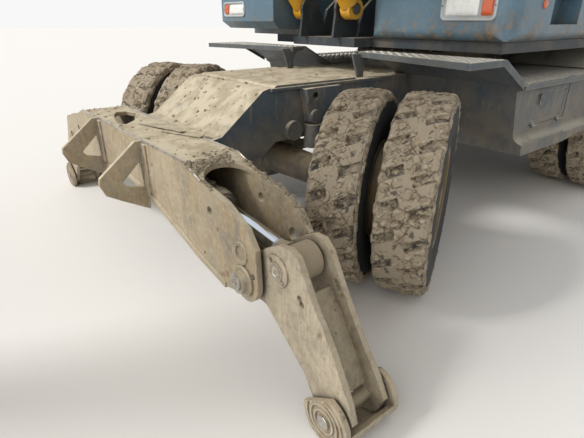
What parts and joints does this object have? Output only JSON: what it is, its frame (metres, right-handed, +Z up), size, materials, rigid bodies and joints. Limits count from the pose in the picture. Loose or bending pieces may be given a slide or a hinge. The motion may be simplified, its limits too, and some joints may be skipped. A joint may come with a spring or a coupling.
{
  "type": "wheeled excavator",
  "caption": "Wheeled excavator with steered axle, outrigger legs, dozer blade, slewing upper, cab and hydraulic digging gear",
  "frame": {"origin": "on the ground under the slewing axis", "axes": "+X forward to the steered axle and outriggers, +Y to the machine's left (cab side), +Z up"},
  "size_m": [8.8785, 3.65, 4.0598],
  "materials": {
    "dusty_paint": "worn grey paint under dried dust",
    "dark_paint": "dark blue-grey paint, dusty",
    "yellow_paint": "faded yellow paint",
    "chrome_rod": "polished hard chrome",
    "cast_iron": "rough cast",
    "worn_steel": "ground-worn steel",
    "tyre": "matt rubber under dried mud",
    "glass": "clear tinted",
    "seat": "woven cloth",
    "lamp": "clear lens"
  },
  "bodies": {
    "chassis": {"chassis_frame": "dusty_paint", "outrigger_beam": "dusty_paint", "front_axle": "dark_paint", "rear_axle": "dark_paint", "driveline": "dark_paint", "fenders": "dusty_paint", "toolboxes": "dusty_paint", "slew_ring": "dark_paint"},
    "knuckle_left": {"knuckle_left": "dark_paint"},
    "wheels_front_left": {"rims_front_left": "yellow_paint", "tyres_front_left": "tyre"},
    "wheels_rear_left": {"rims_rear_left": "yellow_paint", "tyres_rear_left": "tyre"},
    "leg_left": {"leg_left": "dusty_paint"},
    "foot_left": {"foot_left": "dusty_paint"},
    "leg_barrel_left": {"leg_barrel_left": "dark_paint"},
    "leg_rod_left": {"leg_rod_left": "chrome_rod"},
    "toolbox_door_left": {"toolbox_door_left": "dusty_paint"},
    "side_door_left": {"side_door_left": "dark_paint"},
    "knuckle_right": {"knuckle_right": "dark_paint"},
    "wheels_front_right": {"rims_front_right": "yellow_paint", "tyres_front_right": "tyre"},
    "wheels_rear_right": {"rims_rear_right": "yellow_paint", "tyres_rear_right": "tyre"},
    "leg_right": {"leg_right": "dusty_paint"},
    "foot_right": {"foot_right": "dusty_paint"},
    "leg_barrel_right": {"leg_barrel_right": "dark_paint"},
    "leg_rod_right": {"leg_rod_right": "chrome_rod"},
    "toolbox_door_right": {"toolbox_door_right": "dusty_paint"},
    "side_door_right": {"side_door_right": "dark_paint"},
    "blade": {"blade": "dusty_paint"},
    "blade_barrels": {"blade_barrels": "dark_paint"},
    "blade_rods": {"blade_rods": "chrome_rod"},
    "engine_hood": {"engine_hood": "yellow_paint"},
    "boom": {"boom": "yellow_paint"},
    "boom_barrels": {"boom_barrels": "yellow_paint"},
    "boom_rods": {"boom_rods": "chrome_rod"},
    "arm": {"arm": "yellow_paint"},
    "arm_barrel": {"arm_barrel": "yellow_paint"},
    "arm_rod": {"arm_rod": "chrome_rod"},
    "bucket_barrel": {"bucket_barrel": "yellow_paint"},
    "bucket_rod": {"bucket_rod": "chrome_rod"},
    "rocker": {"rocker": "yellow_paint"},
    "bucket_link": {"bucket_link": "yellow_paint"},
    "bucket": {"bucket": "worn_steel"},
    "upper": {"upper_frame": "dark_paint", "counterweight": "dark_paint", "engine": "cast_iron", "house_panels": "dark_paint", "right_tank": "dark_paint", "cab_base": "dark_paint", "headlamps": "lamp", "cab_shell": "yellow_paint", "cab_glass": "glass", "seat_and_console": "seat"},
    "cab_door": {"cab_door": "yellow_paint", "door_glass": "glass"}
  },
  "joints": [
    {"name": "steering_left", "type": "hinge", "parent": "chassis", "child": "knuckle_left", "pos_m": [1.745, 0.92, 0.525], "axis": [0, 0, 1], "range_deg": [-56, 0]},
    {"name": "steering_right", "type": "hinge", "parent": "chassis", "child": "knuckle_right", "pos_m": [1.745, -0.92, 0.525], "axis": [0, 0, 1], "range_deg": [-56, 0]},
    {"name": "wheel_front_left_spin", "type": "hinge", "parent": "knuckle_left", "child": "wheels_front_left", "pos_m": [1.745, 0.92, 0.525], "axis": [-0.4695, 0.8829, 0], "continuous": true},
    {"name": "wheel_front_right_spin", "type": "hinge", "parent": "knuckle_right", "child": "wheels_front_right", "pos_m": [1.745, -0.92, 0.525], "axis": [-0.4695, 0.8829, 0], "continuous": true},
    {"name": "wheel_rear_left_spin", "type": "hinge", "parent": "chassis", "child": "wheels_rear_left", "pos_m": [-1.05, 0.92, 0.525], "axis": [0, 1, 0], "continuous": true},
    {"name": "wheel_rear_right_spin", "type": "hinge", "parent": "chassis", "child": "wheels_rear_right", "pos_m": [-1.05, -0.92, 0.525], "axis": [0, 1, 0], "continuous": true},
    {"name": "leg_left_swing", "type": "hinge", "parent": "chassis", "child": "leg_left", "pos_m": [2.5775, 1.24, 0.447], "axis": [1, 0, 0], "range_deg": [-6, 100]},
    {"name": "foot_left_tilt", "type": "hinge", "parent": "leg_left", "child": "foot_left", "pos_m": [2.5775, 1.714, 0.095], "axis": [1, 0, 0], "range_deg": [-15, 15]},
    {"name": "leg_barrel_left_swing", "type": "hinge", "parent": "chassis", "child": "leg_barrel_left", "pos_m": [2.5775, 0.1, 0.66], "axis": [1, 0, 0], "range_deg": [-1, 4]},
    {"name": "leg_rod_left_slide", "type": "slide", "parent": "leg_barrel_left", "child": "leg_rod_left", "axis": [0, 0.9966, -0.0824], "range_m": [-0.29, 0.02]},
    {"name": "leg_right_swing", "type": "hinge", "parent": "chassis", "child": "leg_right", "pos_m": [2.5775, -1.24, 0.447], "axis": [-1, 0, 0], "range_deg": [-6, 100]},
    {"name": "foot_right_tilt", "type": "hinge", "parent": "leg_right", "child": "foot_right", "pos_m": [2.5775, -1.714, 0.095], "axis": [-1, 0, 0], "range_deg": [-15, 15]},
    {"name": "leg_barrel_right_swing", "type": "hinge", "parent": "chassis", "child": "leg_barrel_right", "pos_m": [2.5775, -0.1, 0.66], "axis": [-1, 0, 0], "range_deg": [-1, 4]},
    {"name": "leg_rod_right_slide", "type": "slide", "parent": "leg_barrel_right", "child": "leg_rod_right", "axis": [0, -0.9966, -0.0824], "range_m": [-0.29, 0.02]},
    {"name": "blade_lift", "type": "hinge", "parent": "chassis", "child": "blade", "pos_m": [-1.35, 0, 0.6], "axis": [0, 1, 0], "range_deg": [-14, 22]},
    {"name": "blade_barrels_swing", "type": "hinge", "parent": "chassis", "child": "blade_barrels", "pos_m": [-1.25, 0, 0.96], "axis": [0, 1, 0], "range_deg": [-10, 15]},
    {"name": "blade_rods_slide", "type": "slide", "parent": "blade_barrels", "child": "blade_rods", "axis": [-0.8087, 0, -0.5882], "range_m": [-0.12, 0.09]},
    {"name": "toolbox_door_left_drop", "type": "hinge", "parent": "chassis", "child": "toolbox_door_left", "pos_m": [0.3, 1.258, 0.75], "axis": [-1, 0, 0], "range_deg": [0, 90]},
    {"name": "toolbox_door_right_drop", "type": "hinge", "parent": "chassis", "child": "toolbox_door_right", "pos_m": [0.3, -1.258, 0.75], "axis": [1, 0, 0], "range_deg": [0, 90]},
    {"name": "slew", "type": "hinge", "parent": "chassis", "child": "upper", "pos_m": [0, 0, 1.2], "axis": [0, 0, 1], "continuous": true},
    {"name": "cab_door_swing", "type": "hinge", "parent": "upper", "child": "cab_door", "pos_m": [-0.05, 1.262, 2.4], "axis": [0, 0, 1], "range_deg": [0, 165]},
    {"name": "engine_hood_lift", "type": "hinge", "parent": "upper", "child": "engine_hood", "pos_m": [-0.545, 0, 2.385], "axis": [0, 1, 0], "range_deg": [0, 50]},
    {"name": "side_door_left_swing", "type": "hinge", "parent": "upper", "child": "side_door_left", "pos_m": [-1.9, 1.244, 1.7], "axis": [0, 0, 1], "range_deg": [0, 100]},
    {"name": "side_door_right_swing", "type": "hinge", "parent": "upper", "child": "side_door_right", "pos_m": [-1.9, -1.244, 1.7], "axis": [0, 0, -1], "range_deg": [0, 100]},
    {"name": "boom_lift", "type": "hinge", "parent": "upper", "child": "boom", "pos_m": [0.48, -0.125, 1.95], "axis": [0, -1, 0], "range_deg": [-40, 42]},
    {"name": "boom_barrels_swing", "type": "hinge", "parent": "upper", "child": "boom_barrels", "pos_m": [1.08, -0.125, 1.45], "axis": [0, -1, 0], "range_deg": [-48, 48]},
    {"name": "boom_rods_slide", "type": "slide", "parent": "boom_barrels", "child": "boom_rods", "axis": [0.6152, 0, 0.7883], "range_m": [-0.55, 0.55]},
    {"name": "arm_crowd", "type": "hinge", "parent": "boom", "child": "arm", "pos_m": [5.49809, -0.125, 3.31338], "axis": [0, 1, 0], "range_deg": [-75, 32]},
    {"name": "arm_barrel_swing", "type": "hinge", "parent": "boom", "child": "arm_barrel", "pos_m": [2.28422, -0.125, 3.89095], "axis": [0, 1, 0], "range_deg": [-10, 10]},
    {"name": "arm_rod_slide", "type": "slide", "parent": "arm_barrel", "child": "arm_rod", "axis": [0.9999, 0, 0.0155], "range_m": [-0.95, 0.45]},
    {"name": "bucket_curl", "type": "hinge", "parent": "arm", "child": "bucket", "pos_m": [5.24199, -0.125, 0.8768], "axis": [0, 1, 0], "range_deg": [-60, 70]},
    {"name": "rocker_swing", "type": "hinge", "parent": "arm", "child": "rocker", "pos_m": [5.2838, -0.125, 1.27461], "axis": [0, 1, 0], "range_deg": [-60, 70]},
    {"name": "bucket_link_swing", "type": "hinge", "parent": "rocker", "child": "bucket_link", "pos_m": [5.73373, -0.125, 1.26676], "axis": [0, 1, 0], "range_deg": [-70, 60]},
    {"name": "bucket_barrel_swing", "type": "hinge", "parent": "arm", "child": "bucket_barrel", "pos_m": [6.04875, -0.125, 3.19518], "axis": [0, 1, 0], "range_deg": [-12, 12]},
    {"name": "bucket_rod_slide", "type": "slide", "parent": "bucket_barrel", "child": "bucket_rod", "axis": [-0.1612, 0, -0.9869], "range_m": [-0.5, 0.5]}
  ],
  "couplings": [
    {"joint": "steering_right", "follows": "steering_left", "ratio": 1},
    {"joint": "leg_barrel_left_swing", "follows": "leg_left_swing", "ratio": 0.03},
    {"joint": "leg_rod_left_slide", "follows": "leg_left_swing", "m_per_rad": -0.1602},
    {"joint": "leg_barrel_right_swing", "follows": "leg_right_swing", "ratio": 0.03},
    {"joint": "leg_rod_right_slide", "follows": "leg_right_swing", "m_per_rad": -0.1602},
    {"joint": "blade_barrels_swing", "follows": "blade_lift", "ratio": 0.57},
    {"joint": "blade_rods_slide", "follows": "blade_lift", "m_per_rad": -0.2427},
    {"joint": "boom_barrels_swing", "follows": "boom_lift", "ratio": 0.98},
    {"joint": "boom_rods_slide", "follows": "boom_lift", "m_per_rad": 0.7152},
    {"joint": "arm_barrel_swing", "follows": "arm_crowd", "ratio": -0.01},
    {"joint": "arm_rod_slide", "follows": "arm_crowd", "m_per_rad": 0.5427},
    {"joint": "rocker_swing", "follows": "bucket_curl", "ratio": 1},
    {"joint": "bucket_link_swing", "follows": "bucket_curl", "ratio": -1},
    {"joint": "bucket_barrel_swing", "follows": "bucket_curl", "ratio": -0.01},
    {"joint": "bucket_rod_slide", "follows": "bucket_curl", "m_per_rad": 0.3532}
  ]
}
